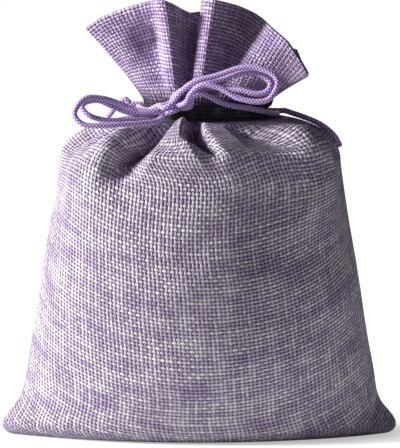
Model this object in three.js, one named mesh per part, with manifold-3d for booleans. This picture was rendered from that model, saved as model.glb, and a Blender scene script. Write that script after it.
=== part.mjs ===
// Lavender sachet: a stuffed drawstring pouch of plain-weave cloth, its neck drawn in and tied in a bow.
// Millimetres, +Z up, front towards -Y, standing on z = 0 with the side seams in the plane y = 0.
import * as THREE from "three";
import { mergeVertices } from "three/addons/utils/BufferGeometryUtils.js";
import Module from "manifold-3d";

const solids = await Module();
solids.setup();
const { Manifold, Mesh: SolidMesh } = solids;

// Cloth and cord
const CLOTH = 0.6;
const CORD = 1.8;
const CLEARANCE = 0.3;

// Pouch body
const FOOT_LENGTH = 123;
const FOOT_DEPTH = 46;
const SEAM_CORNER = 1.5;
const HIP_WIDTH = 118;
const EAR_REACH = 5;
const EAR_HEIGHT = 2.8;
const EAR_SPREAD = 6;
const BELLY_DEPTH = 66;
const BELLY_HEIGHT = 52;
const SHOULDER_WIDTH = 90;
const SHOULDER_DEPTH = 55;
const SHOULDER_HEIGHT = 88;
const PINCH = 0.7;
const PINCH_HEIGHT = 17;

// Neck with the sewn casing for the two drawstrings
const NECK_WIDTH = 41;
const NECK_DEPTH = 26;
const NECK_SHIFT = 2.5;
const GATHER_START = 66;
const CASING_FOOT = 102.4;
const CASING_HEIGHT = 2 * CORD + 5 * CLEARANCE;
const TUNNEL = CORD + 3 * CLEARANCE;
const RUCHE = 1.4;
const RUCHES = 18;
const SLIT_ANGLE = 30;

// Shoulder folds below the neck: angle from the front in degrees, lean of the fold's foot,
// depth (a ridge is below zero), angular width to its left and right, and drop below the casing
const SHOULDER_FOLDS = [
  { at: -74, lean: 0, depth: 4, left: 14, right: 12, drop: 16 },
  { at: -56, lean: -4, depth: 2.6, left: 10, right: 9, drop: 14 },
  { at: -42, lean: 2, depth: -1.6, left: 8, right: 8, drop: 14 },
  { at: -28, lean: 2, depth: 9, left: 15, right: 6, drop: 24 },
  { at: -20, lean: 4, depth: -3.2, left: 6, right: 9, drop: 16 },
  { at: -13, lean: 4, depth: 8, left: 6, right: 6.5, drop: 7.5 },
  { at: -13, lean: 27, depth: 5.5, left: 7, right: 6, drop: 11 },
  { at: -7, lean: 30, depth: -2.6, left: 7, right: 15, drop: 18 },
  { at: 20, lean: 20, depth: 4.5, left: 11, right: 14, drop: 13 },
  { at: 42, lean: 0, depth: -3.4, left: 46, right: 50, drop: 14 },
  { at: 72, lean: 2, depth: 3.5, left: 12, right: 12, drop: 16 },
  { at: 116, lean: 0, depth: 4.2, left: 14, right: 14, drop: 17 },
  { at: 141, lean: -3, depth: 6.5, left: 12, right: 12, drop: 24 },
  { at: 168, lean: 0, depth: 5.5, left: 11, right: 11, drop: 15 },
  { at: 194, lean: 2, depth: 7, left: 12, right: 12, drop: 24 },
  { at: 221, lean: 0, depth: 5, left: 11, right: 11, drop: 16 },
  { at: 247, lean: 3, depth: 4.2, left: 14, right: 14, drop: 19 },
];
const CREASE_SHARE = 0.16;

// Ruffle above the neck. Its hem runs from seam to seam: the angle of its foot round the neck,
// then where its edge lies across, back and up, as shares of the ruffle's spread and height
const RUFFLE_SPREAD = 36.2;
const RUFFLE_HEIGHT = 33.8;
const FRONT_HEM = [
  [-90, -1, 0, 0.67], [-79, -0.885, -0.06, 0.77], [-68, -0.77, -0.12, 0.83],
  [-57, -0.66, -0.16, 0.88], [-48, -0.55, -0.2, 0.92], [-42, -0.44, -0.27, 0.96],
  [-36, -0.355, -0.42, 0.985], [-30, -0.29, -0.45, 0.985], [-26, -0.23, -0.35, 0.95],
  [-23, -0.15, -0.2, 0.88], [-20, 0.02, -0.02, 0.77], [-17, 0.045, -0.1, 0.87],
  [-15, 0.005, -0.27, 0.985], [-12, 0.06, -0.41, 1], [-9, 0.13, -0.48, 0.995],
  [-4.5, 0.22, -0.39, 0.965], [1.5, 0.35, -0.22, 0.91], [8, 0.49, -0.1, 0.84],
  [12, 0.56, -0.14, 0.8], [22, 0.64, -0.34, 0.74], [38, 0.76, -0.49, 0.62],
  [56, 0.87, -0.59, 0.44], [74, 0.94, -0.65, 0.28], [90, 0.86, 0, 0.46],
];
const BACK_HEM = [
  [90, 0.86, 0, 0.46], [108, 0.78, 0.25, 0.46], [126, 0.53, 0.2, 0.67], [144, 0.36, 0.5, 0.72],
  [162, 0.17, 0.28, 0.75], [180, 0, 0.53, 0.76], [198, -0.19, 0.28, 0.77], [216, -0.42, 0.5, 0.75],
  [234, -0.58, 0.24, 0.74], [252, -0.86, 0.28, 0.66], [270, -1, 0, 0.67],
];

// Valley in the ruffle's left lobe, deepest below the hem: its foot angle, depth,
// and width to its left and right
const VALLEY_ANGLE = -42;
const VALLEY_DEPTH = 5.5;
const VALLEY_LEFT = 11;
const VALLEY_RIGHT = 4;

// Bow knot
const KNOT = new THREE.Vector3(-9.5, -16, 107.2);
const KNOT_RADIUS = 3.9;
const KNOT_DEPTH = 6.6;

// Each drawstring comes out again at its own slit: angle round the neck, and reach out of the tunnel
const EXIT_ANGLE = -262.5;
const EXIT_REACH = 5.4;
const LEFT_RISE = 1.5;
const RIGHT_RISE = -0.6;

// Turn into a slit as angles round the neck, and out of one as angles and distances out of the tunnel
const TURN_IN = [68, 76, 79, 76, 68];
const TURN_OUT = [[-248, 0], [-255, 0.5], [-260, 2], [-262, 4]];

// Routes of the cord as offsets from the middle of the knot
const LEFT_LEAD = [[-3.3, 3.6, 0.2], [-7, 6.6, -1.7]];
const RIGHT_LEAD = [
  [6.2, -1.2, 0.4], [7.3, -3, 3.8], [9.5, -3.6, 5],
  [12.6, -2.8, 3.8], [15.7, -1.4, 2], [19.2, 0.1, 0.7],
];
const LOOPS = {
  left_loop_outer: [
    [-4.5, -1.8, -0.9], [-11.1, -1.4, -0.5], [-16.3, -1.6, 1.6], [-21.5, -2.6, 3.3],
    [-26.4, -4, 3.6], [-29.1, -5.6, 1.6], [-30.3, -6.8, -1.4], [-27.9, -7.6, -4.2],
    [-21.3, -7.6, -4.8], [-16.2, -6.8, -4.6], [-8.4, -4.8, -4.4], [-3.7, -2.6, -3.8],
  ],
  left_loop_inner: [
    [-4.1, 2, -1.7], [-12.5, 1.8, -1.9], [-17.7, 1.4, -0.1], [-23, 0, 2.3],
    [-27.3, -1.8, 1.6], [-28, -2.6, 0.4], [-25.9, -3.8, -1.9], [-21.4, -4.6, -3.3],
    [-13.7, -3, -3.8], [-8.5, -1.2, -3.9], [-3.9, 0.4, -4],
  ],
  right_loop_outer: [
    [2, -2.8, 3.8], [4.9, -4.2, 6.9], [8.2, -5, 9.1], [14.9, -5.6, 11],
    [21.9, -6.2, 13.4], [27, -7, 13.7], [33, -8.6, 11.3], [34.1, -9.4, 9],
    [31.5, -10.4, 4.2], [28.1, -10.4, 3.2], [21.5, -9.4, 4.3], [16, -8.2, 7.2],
    [11, -7.4, 8.3], [8.5, -6.8, 7.2], [6.4, -5.8, 4.9], [4.9, -3.8, 2],
  ],
  right_loop_inner: [
    [1.1, 0.2, 3.4], [3.8, -1, 5.6], [10.4, -2.6, 8.3], [16.4, -3.3, 9.5],
    [22.7, -4.2, 11.5], [27, -4.8, 11.6], [31.8, -6.2, 8.7], [31, -7, 6.4],
    [28.1, -7.2, 5.3], [22.3, -5.8, 6.3], [16.1, -2.8, 6.9], [10.4, -0.2, 6.1],
    [7.9, 0.7, 4.8], [6, 1.2, 2.5],
  ],
};

// The right lead comes round the neck to its slit: angle, and height above the cord's run
const RIGHT_ENTRY = [[35, 2.6], [54, 1]];

// Where each free end lies on the shoulder: its angle on each row from the neck down
const LEFT_REST = [-254, -248, -244, -241, -239, -238];
const RIGHT_REST = [-265, -266, -266, -265];

// Lavender filling
const FILL_GAP = 0.8;
const FILL_SIDE_GAP = 3;
const FILL_CROWN = 88;
const FILL_SPARE_ROWS = 7;

const COLUMNS = 36;
const WALL_STEPS = 10;
const SHOULDER_STEPS = 6;
const RUFFLE_STEPS = 4;
const LEFT_RUN_STEPS = 64;
const RIGHT_RUN_STEPS = 76;
const LOOP_STEPS = 34;
const LEFT_TAIL_STEPS = 16;
const RIGHT_TAIL_STEPS = 14;

const point = (x, y, z) => new THREE.Vector3(x, y, z);
const rad = THREE.MathUtils.degToRad;
const smooth = THREE.MathUtils.smoothstep;
const casingMiddle = CASING_FOOT + CASING_HEIGHT / 2;
const casingTop = CASING_FOOT + CASING_HEIGHT;
const facing = 2 * CLOTH + TUNNEL;

// One level of the body: half width, half depth, height and outward normals of the side and front profiles
function wallLevel(z) {
  const share = z / SHOULDER_HEIGHT;
  const ear = EAR_REACH * Math.exp(-(((z - EAR_HEIGHT) / EAR_SPREAD) ** 2));
  const side = THREE.MathUtils.lerp(HIP_WIDTH, SHOULDER_WIDTH, share) / 2 + ear;
  const below = Math.max(0, 1 - z / BELLY_HEIGHT);
  const above = Math.max(0, (z - BELLY_HEIGHT) / (SHOULDER_HEIGHT - BELLY_HEIGHT));
  const front = (BELLY_DEPTH - (BELLY_DEPTH - FOOT_DEPTH) * below ** 3
    - (BELLY_DEPTH - SHOULDER_DEPTH) * above ** 2) / 2;
  return { a: z === 0 ? FOOT_LENGTH / 2 : side, b: front, z, shift: 0 };
}

function shoulderLevel(turn) {
  return {
    a: (NECK_WIDTH + (SHOULDER_WIDTH - NECK_WIDTH) * Math.cos(turn)) / 2,
    b: (NECK_DEPTH + (SHOULDER_DEPTH - NECK_DEPTH) * Math.cos(turn)) / 2,
    z: SHOULDER_HEIGHT + (CASING_FOOT - SHOULDER_HEIGHT) * Math.sin(turn),
    shift: NECK_SHIFT * (1 - Math.cos(turn)),
  };
}

function bodyLevels() {
  const levels = [];
  for (let i = 0; i <= WALL_STEPS; i += 1) {
    levels.push(wallLevel(SHOULDER_HEIGHT * (i / WALL_STEPS) ** 1.5));
  }
  for (let i = 1; i <= SHOULDER_STEPS; i += 1) {
    levels.push(shoulderLevel((Math.PI / 2) * (i / SHOULDER_STEPS)));
  }
  levels.forEach((level, i) => {
    const before = levels[Math.max(0, i - 1)];
    const after = levels[Math.min(levels.length - 1, i + 1)];
    const rise = after.z - before.z;
    level.side = new THREE.Vector2(rise, before.a - after.a).normalize();
    level.front = new THREE.Vector2(rise, before.b - after.b).normalize();
    level.pinch = 1 + PINCH * Math.exp(-level.z / PINCH_HEIGHT);
  });
  levels[0].side.set(Math.SQRT1_2, -Math.SQRT1_2);
  levels[0].front.set(Math.SQRT1_2, -Math.SQRT1_2);
  return levels;
}

const bodyRows = bodyLevels();

// How far a shoulder fold draws the cloth in at an angle and a height
function foldDepth(degrees, z) {
  const drop = CASING_FOOT - z;
  return SHOULDER_FOLDS.reduce((sum, fold) => {
    const at = fold.at + fold.lean * THREE.MathUtils.clamp(drop / fold.drop, 0, 1);
    const away = THREE.MathUtils.euclideanModulo(degrees - at + 180, 360) - 180;
    const reach = Math.hypot(away / (away < 0 ? fold.left : fold.right), CREASE_SHARE);
    const across = THREE.MathUtils.clamp(1 + CREASE_SHARE - reach, 0, 1) ** 1.4;
    const along = smooth(drop, 0, 4) * (1 - smooth(drop, 0.35 * fold.drop, fold.drop));
    return sum + fold.depth * along * across;
  }, 0);
}

// Point of the body cloth at a level and angle, sunk below its outer face;
// the seam edge keeps the cloth's thickness
function bodyPoint(level, degrees, sunk, sideGap = 0) {
  const sin = Math.sin(rad(degrees));
  const cos = Math.cos(rad(degrees));
  const share = Math.abs(cos) ** level.pinch;
  const edge = Math.max(0, CLEARANCE / 2 + CLOTH - sunk);
  const depth = edge + (level.b - sunk * level.front.x - edge) * share;
  const fold = foldDepth(degrees, level.z);
  const up = level.side.y * sin * sin + level.front.y * cos * cos;
  const normal = new THREE.Vector3(level.side.x * sin, -level.front.x * cos, up).normalize();
  const x = level.shift + (level.a - sideGap - sunk * level.side.x) * sin;
  const at = new THREE.Vector3(x, -Math.sign(cos) * depth, level.z - sunk * up);
  return at.addScaledVector(normal, -fold);
}

// Point on the neck's ring, or out from it
function neckPoint(degrees, out, z) {
  const angle = rad(degrees);
  return new THREE.Vector3(
    NECK_SHIFT + (NECK_WIDTH / 2 + out) * Math.sin(angle),
    -(NECK_DEPTH / 2 + out) * Math.cos(angle),
    z,
  );
}

// The hem's stops with their run along it
function hemLine(shares) {
  const line = shares.map(([at, across, back, up]) => ({
    at,
    place: point(across * RUFFLE_SPREAD, back * RUFFLE_SPREAD, casingTop + up * RUFFLE_HEIGHT),
    run: 0,
  }));
  line.slice(1).forEach((stop, i) => {
    stop.run = line[i].run + stop.place.distanceTo(line[i].place);
  });
  return line;
}

const hems = { 0: hemLine(FRONT_HEM), 180: hemLine(BACK_HEM) };

// Foot angle and edge of the ruffle at a share of the panel's width, from -1 at one seam to 1 at the other
function onHem(centre, turn) {
  const line = hems[centre];
  const run = THREE.MathUtils.clamp((turn + 1) / 2, 0, 1) * line.at(-1).run;
  const next = Math.max(1, line.findIndex((stop) => stop.run >= run - 1e-6));
  const from = line[next - 1];
  const to = line[next];
  const mix = (run - from.run) / (to.run - from.run);
  return { at: THREE.MathUtils.lerp(from.at, to.at, mix), edge: from.place.clone().lerp(to.place, mix) };
}

const gatherAt = (z) => smooth(z, GATHER_START, CASING_FOOT);

// Angle of a column of the cloth, gathered from even spacing round the body to the pleats of the neck
function columnAngle(centre, turn, gather, slit) {
  const even = turn * 90;
  const pleated = onHem(centre, turn).at - centre;
  return centre + (THREE.MathUtils.lerp(even, pleated, gather) * (90 - slit)) / 90;
}

// How far the valley in the left lobe lies back
function valleyDepth(turn, share) {
  const line = hems[0];
  const next = line.findIndex((stop) => stop.at >= VALLEY_ANGLE);
  const [from, to] = [line[next - 1], line[next]];
  const middle = THREE.MathUtils.mapLinear(VALLEY_ANGLE, from.at, to.at, from.run, to.run);
  const away = ((turn + 1) / 2) * line.at(-1).run - middle;
  const across = Math.exp(-((away / (away < 0 ? VALLEY_LEFT : VALLEY_RIGHT)) ** 2));
  return VALLEY_DEPTH * across * smooth(1 - share, 0.02, 0.4) * smooth(share, 0, 0.6);
}

function rufflePoint(centre, turn, share) {
  const { edge } = onHem(centre, turn);
  const slit = SLIT_ANGLE * 0.3 * (1 - smooth(share, 0, 0.5));
  const foot = neckPoint(columnAngle(centre, turn, 1, slit), 0, casingTop);
  const spread = share ** 1.15;
  return point(
    THREE.MathUtils.lerp(foot.x, edge.x, spread),
    THREE.MathUtils.lerp(foot.y, edge.y, spread) + (centre === 0 ? valleyDepth(turn, share) : 0),
    THREE.MathUtils.lerp(foot.z, edge.z, share),
  );
}

// Outward normal of a ruffle point, level with the seam at the panel's two edges
function ruffleNormal(centre, turn, share) {
  const step = 1 / COLUMNS;
  const across = rufflePoint(centre, Math.min(1, turn + step), share)
    .sub(rufflePoint(centre, Math.max(-1, turn - step), share));
  const along = rufflePoint(centre, turn, share).sub(rufflePoint(centre, turn, share - 0.1));
  const normal = across.cross(along).normalize();
  if (Math.abs(turn) === 1) {
    normal.setY(0).normalize();
  }
  return normal;
}

// One column of a panel: the cloth's outer and inner faces from the base seam to the hem,
// and the casing's tunnel
function panelColumn(centre, turn) {
  const outer = [];
  const inner = [];
  const half = centre === 0 ? -1 : 1;
  const atNeck = (slit) => columnAngle(centre, turn, 1, slit);
  const onHalf = (at) => at.setY(half * Math.abs(at.y));
  const clearOfSeam = (at) => at.setY(half * Math.max(half * at.y, CLEARANCE / 2));
  const seamX = (FOOT_LENGTH / 2 - SEAM_CORNER) * Math.sin(rad(centre + turn * 90));
  outer.push(point(seamX, half * (CLEARANCE / 2 + CLOTH), 0));
  inner.push(point(seamX, half * (CLEARANCE / 2), CLOTH));
  bodyRows.slice(0, -1).forEach((level) => {
    const slit = SLIT_ANGLE * 0.4 * smooth(level.z, CASING_FOOT - 3, CASING_FOOT);
    const angle = columnAngle(centre, turn, gatherAt(level.z), slit);
    outer.push(onHalf(bodyPoint(level, angle, 0)));
    inner.push(onHalf(bodyPoint(level, angle, CLOTH)));
  });
  const ledge = atNeck(SLIT_ANGLE * 0.6);
  const mouth = atNeck(SLIT_ANGLE);
  const ruche = RUCHE * (0.5 - 0.5 * Math.cos(rad(mouth * RUCHES)));
  outer.push(neckPoint(ledge, 0, CASING_FOOT));
  outer.push(neckPoint(mouth, ruche, casingMiddle - CORD / 2));
  outer.push(neckPoint(mouth, ruche, casingMiddle + CORD / 2));
  outer.push(neckPoint(ledge, 0, casingTop));
  inner.push(neckPoint(ledge, -CLOTH, CASING_FOOT - CLOTH));
  inner.push(neckPoint(mouth, -facing, CASING_FOOT - CLOTH));
  inner.push(neckPoint(mouth, -facing, casingTop + CLOTH));
  for (let i = 1; i <= RUFFLE_STEPS; i += 1) {
    const share = i / RUFFLE_STEPS;
    const at = rufflePoint(centre, turn, share);
    const sunk = at.clone().addScaledVector(ruffleNormal(centre, turn, share), -2 * CLOTH);
    outer.push(clearOfSeam(at));
    inner.push(clearOfSeam(sunk));
  }
  const low = CASING_FOOT + CLEARANCE;
  const high = casingTop - CLEARANCE;
  const tunnel = [
    neckPoint(mouth, -CLOTH, low),
    neckPoint(mouth, -CLOTH - TUNNEL, low),
    neckPoint(mouth, -CLOTH - TUNNEL, high),
    neckPoint(mouth, -CLOTH, high),
  ];
  return { outer, inner, tunnel };
}

// Faces of the cloth's cut end at a side seam, row by row, with the mouth of the tunnel left open
function cutEnd({ outer, inner }) {
  const out = (row) => row;
  const into = (row) => outer.length + inner.length - 1 - row;
  const mouth = (corner) => outer.length + inner.length + corner;
  const faces = [];
  const foot = bodyRows.length;
  for (let row = 0; row < foot; row += 1) {
    faces.push([out(row), out(row + 1), into(row + 1), into(row)]);
  }
  const [middle, upper, top] = [foot + 1, foot + 2, foot + 3];
  const [lip, hem] = [foot + 1, foot + 2];
  faces.push([out(foot), into(lip), into(foot)]);
  faces.push([out(foot), mouth(0), mouth(1), into(lip)]);
  faces.push([out(foot), out(middle), mouth(0)]);
  faces.push([out(middle), out(upper), mouth(3), mouth(0)]);
  faces.push([out(upper), out(top), mouth(3)]);
  faces.push([mouth(1), mouth(2), into(hem), into(lip)]);
  faces.push([mouth(3), out(top), out(top + 1)]);
  faces.push([mouth(3), out(top + 1), into(hem + 1)]);
  faces.push([mouth(3), into(hem + 1), into(hem)]);
  faces.push([mouth(3), into(hem), mouth(2)]);
  for (let row = 1; row < RUFFLE_STEPS; row += 1) {
    faces.push([out(top + row), out(top + row + 1), into(hem + row + 1), into(hem + row)]);
  }
  return faces.flatMap(([a, b, c, d]) => (d === undefined ? [[a, b, c]] : [[a, b, c], [a, c, d]]));
}

// Skin over a row of like columns, closed by a cut end at each side
function skin(columns) {
  const rings = columns.map(({ outer, inner, tunnel }) => [[...outer, ...inner.slice().reverse()], tunnel]);
  const size = rings[0].flat().length;
  const positions = rings.flat(2).flatMap((p) => p.toArray());
  const index = [];
  rings.slice(1).forEach((_, i) => {
    let offset = i * size;
    rings[i].forEach((ring) => {
      ring.forEach((__, k) => {
        const here = offset + k;
        const next = offset + ((k + 1) % ring.length);
        index.push(here, here + size, next + size, here, next + size, next);
      });
      offset += ring.length;
    });
  });
  const last = (columns.length - 1) * size;
  cutEnd(columns[0]).forEach(([a, b, c]) => {
    index.push(a, b, c, last + a, last + c, last + b);
  });
  return outward(positions, index);
}

function outward(positions, index) {
  const at = (i) => new THREE.Vector3().fromArray(positions, 3 * i);
  let volume = 0;
  for (let i = 0; i < index.length; i += 3) {
    volume += at(index[i]).dot(at(index[i + 1]).cross(at(index[i + 2])));
  }
  const geometry = new THREE.BufferGeometry();
  geometry.setAttribute("position", new THREE.Float32BufferAttribute(positions, 3));
  geometry.setIndex(volume > 0 ? index : index.slice().reverse());
  return geometry;
}

function panel(centre) {
  const columns = [];
  for (let i = 0; i <= COLUMNS; i += 1) {
    columns.push(panelColumn(centre, (2 * i) / COLUMNS - 1));
  }
  return skin(columns);
}

// The heap of dried buds that fills the pouch up to its shoulder
function filling() {
  const sunk = CLOTH + FILL_GAP;
  const fillColumns = 2 * COLUMNS;
  const rows = bodyRows.slice(0, -FILL_SPARE_ROWS);
  const rings = rows.map((level, i) => {
    const ring = [];
    for (let k = 0; k < fillColumns; k += 1) {
      const centre = k < COLUMNS ? 0 : 180;
      const turn = (2 * (k % COLUMNS)) / COLUMNS - 1;
      const at = bodyPoint(level, columnAngle(centre, turn, gatherAt(level.z), 0), sunk, FILL_SIDE_GAP);
      at.z = i === 0 ? sunk : Math.max(at.z, sunk);
      ring.push(at);
    }
    return ring;
  });
  const positions = rings.flat().flatMap((p) => p.toArray());
  const index = [];
  rings.slice(1).forEach((_, i) => {
    for (let k = 0; k < fillColumns; k += 1) {
      const here = i * fillColumns + k;
      const next = i * fillColumns + ((k + 1) % fillColumns);
      index.push(here, next, next + fillColumns, here, next + fillColumns, here + fillColumns);
    }
  });
  const foot = positions.length / 3;
  positions.push(0, 0, sunk, 0, 0, FILL_CROWN);
  const last = (rings.length - 1) * fillColumns;
  for (let k = 0; k < fillColumns; k += 1) {
    const next = (k + 1) % fillColumns;
    index.push(foot, next, k, foot + 1, last + k, last + next);
  }
  return outward(positions, index);
}

function tube(points, steps) {
  const section = new THREE.Shape().absarc(0, 0, CORD / 2, 0, 2 * Math.PI);
  const extrudePath = new THREE.CatmullRomCurve3(points);
  return new THREE.ExtrudeGeometry(section, { steps, curveSegments: 4, bevelEnabled: false, extrudePath });
}

function toSolid(geometry) {
  const bare = new THREE.BufferGeometry();
  bare.setAttribute("position", geometry.getAttribute("position"));
  bare.setIndex(geometry.getIndex());
  const merged = mergeVertices(bare, 1e-4);
  return new Manifold(new SolidMesh({
    numProp: 3,
    vertProperties: Float32Array.from(merged.getAttribute("position").array),
    triVerts: Uint32Array.from(merged.getIndex().array),
  }));
}

function toGeometry(solid) {
  const { vertProperties, triVerts } = solid.getMesh();
  const geometry = new THREE.BufferGeometry();
  geometry.setAttribute("position", new THREE.BufferAttribute(vertProperties, 3));
  geometry.setIndex(new THREE.BufferAttribute(triVerts, 1));
  return geometry;
}

// The knot's envelope, round about the bow's swing axis so that the loops can turn against it
function knotEnvelope(grown) {
  const ball = new THREE.SphereGeometry(1, 16, 10);
  ball.scale(KNOT_RADIUS + grown, KNOT_DEPTH / 2 + grown, KNOT_RADIUS + grown);
  ball.translate(KNOT.x, KNOT.y, KNOT.z);
  return toSolid(ball);
}

// Three turns of cord drawn tight about each other
function bowKnot() {
  const turns = [
    { tilt: [0.2, 0.5, 0.2], radius: 0.64 * KNOT_RADIUS },
    { tilt: [1.3, 0.6, 0.9], radius: 0.6 * KNOT_RADIUS },
    { tilt: [0.5, 1.5, -0.7], radius: 0.58 * KNOT_RADIUS },
  ];
  const core = new THREE.SphereGeometry(KNOT_DEPTH / 2 - CORD / 3, 12, 8);
  core.translate(KNOT.x, KNOT.y, KNOT.z);
  return turns.reduce((solid, turn) => {
    const ring = new THREE.TorusGeometry(turn.radius, CORD / 2, 6, 12);
    ring.applyMatrix4(new THREE.Matrix4().makeRotationFromEuler(new THREE.Euler(...turn.tilt)));
    ring.translate(KNOT.x, KNOT.y, KNOT.z);
    return solid.add(toSolid(ring));
  }, toSolid(core)).intersect(knotEnvelope(0));
}

// A strand that starts, and at most also ends, inside the knot
function tiedStrand(points, steps) {
  return toGeometry(toSolid(tube(points, steps)).subtract(knotEnvelope(CLEARANCE)));
}

const lowRun = casingMiddle - (CORD + CLEARANCE) / 2;
const highRun = casingMiddle + (CORD + CLEARANCE) / 2;
const inside = -CLOTH - TUNNEL / 2;
const outside = RUCHE + 2 * CLEARANCE + CORD / 2;
const exitOut = inside + EXIT_REACH;

// Round the casing from one side: out of the knot, in at the near slit, right round and out again
function runPoints(side, z, lead) {
  const turnIn = TURN_IN.map((degrees, i) => {
    const share = (1 - Math.cos((Math.PI * i) / (TURN_IN.length - 1))) / 2;
    return [degrees, THREE.MathUtils.lerp(outside, inside, share)];
  });
  const round = [];
  for (let degrees = 54; degrees >= -234; degrees -= 18) {
    round.push([degrees, inside]);
  }
  const turnOut = TURN_OUT.map(([degrees, reach]) => [degrees, inside + reach]);
  const route = [...turnIn, ...round, ...turnOut, [EXIT_ANGLE, exitOut]];
  return [KNOT, ...lead, ...route.map(([degrees, out]) => neckPoint(side * degrees, out, z))];
}

// A free end that leaves its slit and lies over the shoulder, a radius off the cloth
function tailPoints(side, z, rise, rests) {
  const start = neckPoint(side * EXIT_ANGLE, exitOut + CLEARANCE, z);
  const leave = neckPoint(side * EXIT_ANGLE, exitOut + CORD / 2, z);
  const lift = neckPoint(side * EXIT_ANGLE, exitOut + 1.5 * CORD, z + rise);
  const firstRow = bodyRows.length - 3;
  const offCloth = -CORD / 2 - 2 * CLEARANCE;
  const lying = rests.map((degrees, i) => bodyPoint(bodyRows[firstRow - i], side * degrees, offCloth));
  return [start, leave, lift, ...lying];
}

const material = (color, roughness) => new THREE.MeshStandardMaterial({ color, roughness });
const group = new THREE.Group();
function add(name, geometry, color, roughness = 0.9) {
  const mesh = new THREE.Mesh(geometry, material(color, roughness));
  mesh.name = name;
  group.add(mesh);
}

const LILAC = 0xb9a6d4;
const VIOLET = 0x6a4fa3;
const BUDS = 0x7d6f96;

add("front_panel", panel(0), LILAC);
add("back_panel", panel(180), LILAC);
add("lavender_fill", filling(), BUDS);

const fromKnot = (offsets) => offsets.map(([x, y, z]) => KNOT.clone().add(point(x, y, z)));
const rightEntry = RIGHT_ENTRY.map(([degrees, rise]) => neckPoint(degrees, outside, lowRun + rise));
const leftRun = runPoints(-1, highRun, fromKnot(LEFT_LEAD));
const rightRun = runPoints(1, lowRun, [...fromKnot(RIGHT_LEAD), ...rightEntry]);
add("left_drawstring", tiedStrand(leftRun, LEFT_RUN_STEPS), VIOLET);
add("right_drawstring", tiedStrand(rightRun, RIGHT_RUN_STEPS), VIOLET);
add("bow_knot", toGeometry(bowKnot()), VIOLET);
Object.entries(LOOPS).forEach(([name, offsets]) => {
  add(name, tiedStrand([KNOT, ...fromKnot(offsets), KNOT], LOOP_STEPS), VIOLET);
});
add("left_tail", tube(tailPoints(-1, highRun, LEFT_RISE, LEFT_REST), LEFT_TAIL_STEPS), VIOLET);
add("right_tail", tube(tailPoints(1, lowRun, RIGHT_RISE, RIGHT_REST), RIGHT_TAIL_STEPS), VIOLET);

export default group;
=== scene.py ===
"""Lavender sachet: a stuffed, ruffled pouch of open weave, tied in a bow of braided cord."""
import math

import bpy
import numpy as np
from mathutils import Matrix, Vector


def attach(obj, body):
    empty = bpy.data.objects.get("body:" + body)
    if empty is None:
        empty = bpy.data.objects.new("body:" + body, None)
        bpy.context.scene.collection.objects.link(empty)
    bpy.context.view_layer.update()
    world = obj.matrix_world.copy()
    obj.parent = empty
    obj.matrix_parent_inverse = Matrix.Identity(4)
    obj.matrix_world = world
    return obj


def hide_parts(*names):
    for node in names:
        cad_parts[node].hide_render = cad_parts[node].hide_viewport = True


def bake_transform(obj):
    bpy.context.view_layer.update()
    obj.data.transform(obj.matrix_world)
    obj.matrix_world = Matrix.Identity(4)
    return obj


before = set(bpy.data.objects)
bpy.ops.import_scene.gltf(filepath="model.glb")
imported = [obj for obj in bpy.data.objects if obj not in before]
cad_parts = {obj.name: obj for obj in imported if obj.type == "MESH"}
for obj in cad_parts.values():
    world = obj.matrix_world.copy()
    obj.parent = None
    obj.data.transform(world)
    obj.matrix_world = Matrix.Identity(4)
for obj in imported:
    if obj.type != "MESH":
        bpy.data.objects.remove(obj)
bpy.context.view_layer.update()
scene = bpy.context.scene
scene.view_settings.view_transform = "Standard"

# Sizes of the part's source, in millimetres and degrees
MM = 0.001
CLOTH = 0.6
CORD = 1.8
CLEARANCE = 0.3
HIP_WIDTH = 118.0
BELLY_DEPTH = 66.0
BELLY_HEIGHT = 52.0
FOOT_DEPTH = 50.0
FOOT_ROUND = 5.0
SHOULDER_WIDTH = 90.0
SHOULDER_DEPTH = 55.0
SHOULDER_HEIGHT = 88.0
PINCH = 0.7
PINCH_HEIGHT = 17.0
NECK_WIDTH = 41.0
NECK_DEPTH = 26.0
NECK_SHIFT = 2.5
CASING_FOOT = 102.4
CASING_HEIGHT = 2 * CORD + 5 * CLEARANCE
CASING_TOP = CASING_FOOT + CASING_HEIGHT
CASING_MIDDLE = CASING_FOOT + CASING_HEIGHT / 2
TUNNEL = CORD + 3 * CLEARANCE
FACING = 2 * CLOTH + TUNNEL
RUCHE = 1.4
RUCHES = 18
SLIT_ANGLE = 30.0
RUFFLE_SPREAD = 36.2
RUFFLE_HEIGHT = 33.8
FILL_GAP = 2.2
FILL_SIDE_GAP = 4.0
FILL_CROWN = 87.0

# The two panels by the angle of their middle round the pouch, and the side on which each lies
FRONT = 0
BACK = 180
SIDE_OF = {FRONT: -1, BACK: 1}

# A panel as it was cut, from the base seam to the stitch line inside the neck, its thickness and its threads
PANEL_WIDTH = 137
SHEET = CLOTH / 2
WARP_PITCH = 1.38
WEFT_PITCH = 1.2
CLOTH_SKEW = 0.08

# Flare of the lower corners at the left and the right seam: reach, height of its middle and spread
CORNER_FLARES = [(5.2, 3.0, 7.0), (4.8, 2.4, 5.2)]

# How the depth falls off below and above the belly, as powers, and how far the base draws in at the seams
FALL_BELOW = 2.4
FALL_ABOVE = 2
BASE_DRAWN_IN = 3

# Fuller corners of the front shoulder, left and right: how square, where across the panel and how high up
CORNER_BOX = (0.3, 0.45)
CORNER_ACROSS = ((0.3, 0.75), (0.9, 0.995))
CORNER_UP = ((60, 88), (97, CASING_FOOT))

# Heights of the wall's soft lumps, and their sizes: length and height of each kind
LUMPED = ((1, 14), (92, 102))
LUMP_KINDS = ((52, 0.3), (26, 0.16), (12, 0.06))
LUMPS_OF_A_KIND = 3
LUMP_LEAN = 0.9
LUMP_STRETCH = (0.7, 1.5)
LUMP_PHASE = 6.28
LUMP_FADE = 0.5

# Groove along the side seams: depth, width and heights
GROOVE_DEPTH = 0.5
GROOVE_WIDTH = 1.6
GROOVED = ((6, 16), (80, 90))

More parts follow.
